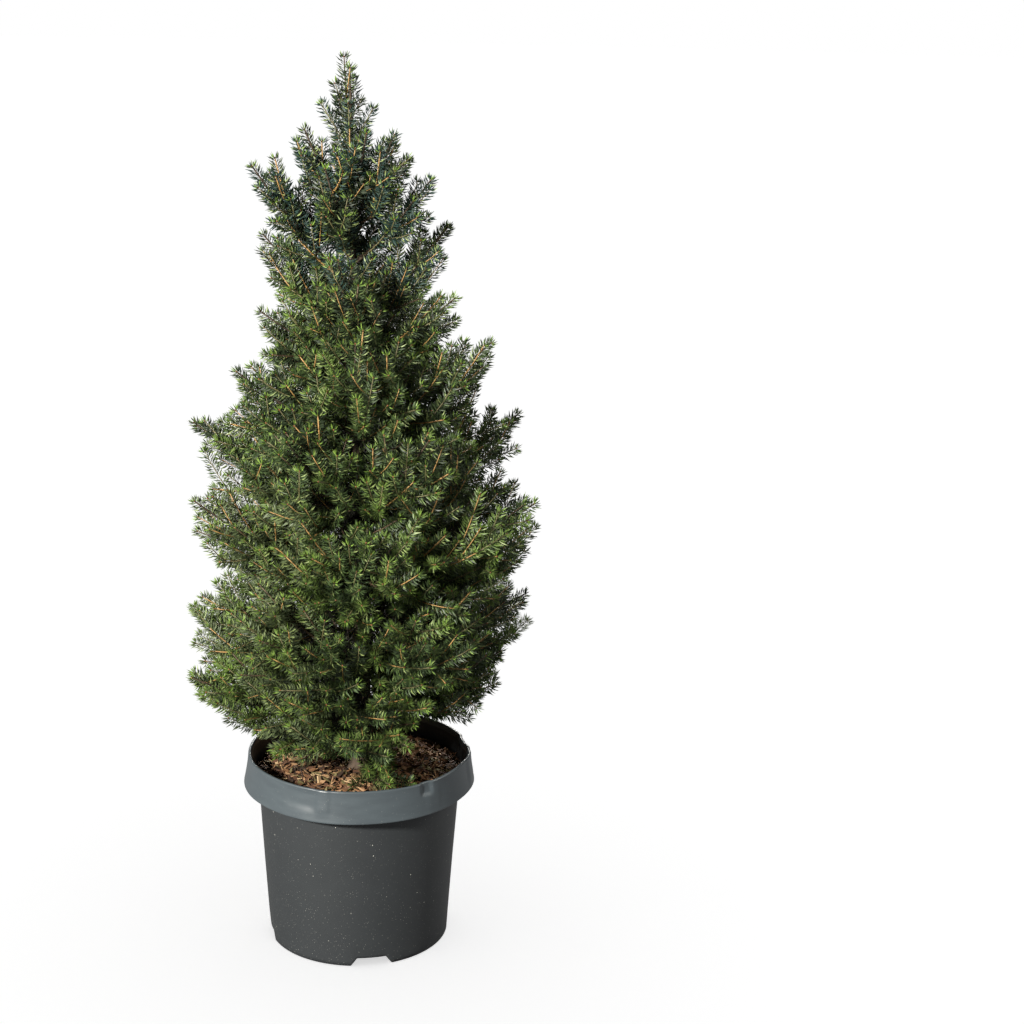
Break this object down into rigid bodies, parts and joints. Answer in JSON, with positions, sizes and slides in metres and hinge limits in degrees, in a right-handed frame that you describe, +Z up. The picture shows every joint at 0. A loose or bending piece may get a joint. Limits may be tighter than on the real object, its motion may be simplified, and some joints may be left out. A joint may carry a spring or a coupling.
{
  "type": "potted alberta spruce",
  "caption": "Dwarf conical spruce in a round nursery pot: tapering trunk, whorls of boughs each carrying a mass of needle foliage, and bark-covered soil.",
  "frame": {"origin": "centre of the pot's flat underside", "axes": "+Z up along the pot's axis, -Y towards the plant's front, +X to its right"},
  "size_m": [0.4109, 0.3752, 1.06],
  "materials": {
    "pot_plastic": "satin moulded dark grey polypropylene with dust",
    "potting_bark": "moist bark mulch in brown flakes",
    "trunk_bark": "thin scaly grey-brown bark",
    "bough_bark": "young ridged orange-tan bark",
    "needle_foliage": "dense fine green needles with paler tips"
  },
  "bodies": {
    "root": {"bough_long_shoot_outer": "bough_bark", "bough_low_front_left": "bough_bark", "bough_low_front_right": "bough_bark", "bough_low_left": "bough_bark", "bough_low_right": "bough_bark", "bough_low_sprig": "bough_bark", "bough_middle_front": "bough_bark", "bough_middle_right": "bough_bark", "bough_shoulder_front_left": "bough_bark", "bough_shoulder_front_right": "bough_bark", "bough_skirt_back_left": "bough_bark", "bough_skirt_back_right": "bough_bark", "bough_skirt_front": "bough_bark", "bough_skirt_left": "bough_bark", "bough_skirt_right": "bough_bark", "bough_spire_right": "bough_bark", "mass_crown_back": "needle_foliage", "mass_crown_front": "needle_foliage", "mass_crown_left": "needle_foliage", "mass_crown_right": "needle_foliage", "mass_leader": "needle_foliage", "mass_long_shoot_inner": "needle_foliage", "mass_long_shoot_outer": "needle_foliage", "mass_low_back": "needle_foliage", "mass_low_front_left": "needle_foliage", "mass_low_front_right": "needle_foliage", "mass_low_left": "needle_foliage", "mass_low_right": "needle_foliage", "mass_low_sprig": "needle_foliage", "mass_middle_back_left": "needle_foliage", "mass_middle_back_right": "needle_foliage", "mass_middle_front": "needle_foliage", "mass_middle_left": "needle_foliage", "mass_middle_right": "needle_foliage", "mass_shoulder_back": "needle_foliage", "mass_shoulder_front_left": "needle_foliage", "mass_shoulder_front_right": "needle_foliage", "mass_shoulder_left": "needle_foliage", "mass_shoulder_right": "needle_foliage", "mass_skirt_back_left": "needle_foliage", "mass_skirt_back_right": "needle_foliage", "mass_skirt_front": "needle_foliage", "mass_skirt_left": "needle_foliage", "mass_skirt_right": "needle_foliage", "mass_spire_back": "needle_foliage", "mass_spire_front_left": "needle_foliage", "mass_spire_front_right": "needle_foliage", "mass_spire_high_left": "needle_foliage", "mass_spire_high_right": "needle_foliage", "mass_spire_low_left": "needle_foliage", "mass_spire_low_right": "needle_foliage", "mass_spire_right": "needle_foliage", "mass_upper_back_left": "needle_foliage", "mass_upper_back_right": "needle_foliage", "mass_upper_front": "needle_foliage", "mass_upper_left": "needle_foliage", "mass_upper_right": "needle_foliage", "pot": "pot_plastic", "soil": "potting_bark", "trunk": "trunk_bark"}
  },
  "joints": []
}
